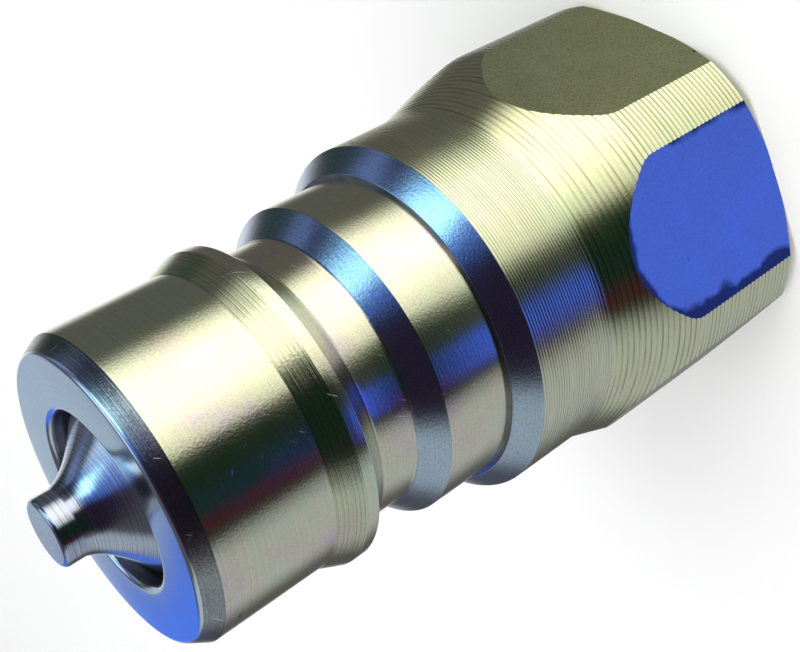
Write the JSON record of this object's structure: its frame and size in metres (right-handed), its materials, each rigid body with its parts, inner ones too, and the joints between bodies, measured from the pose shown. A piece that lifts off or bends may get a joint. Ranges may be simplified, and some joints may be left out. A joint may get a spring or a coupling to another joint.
{
  "type": "quick coupling nipple",
  "caption": "Male half of a hydraulic quick coupling: stepped turned body with locking groove, hexagon and threaded port, and a sprung poppet valve in its nose.",
  "frame": {"origin": "centre of the rear face, where the port opens", "axes": "+Z along the axis from the threaded port up to the nose; a flat of the hexagon faces -Y"},
  "size_m": [0.0294, 0.027, 0.0512],
  "materials": {
    "plated_steel": "yellow passivated zinc plating",
    "poppet_steel": "turned, zinc plated",
    "seal_rubber": "matt",
    "guide_steel": "turned, zinc plated",
    "spring_steel": "drawn spring wire"
  },
  "bodies": {
    "nipple_body": {"body": "plated_steel", "valve_guide": "guide_steel", "retaining_ring": "spring_steel", "spring": "spring_steel"},
    "valve_poppet": {"poppet": "poppet_steel", "poppet_seal": "seal_rubber"}
  },
  "joints": [
    {"name": "poppet_slide", "type": "slide", "parent": "nipple_body", "child": "valve_poppet", "axis": [0, 0, -1], "range_m": [0, 0.0055], "stiffness_N_per_m": 5000, "springref_m": -0.004, "deforming": ["spring"]}
  ]
}
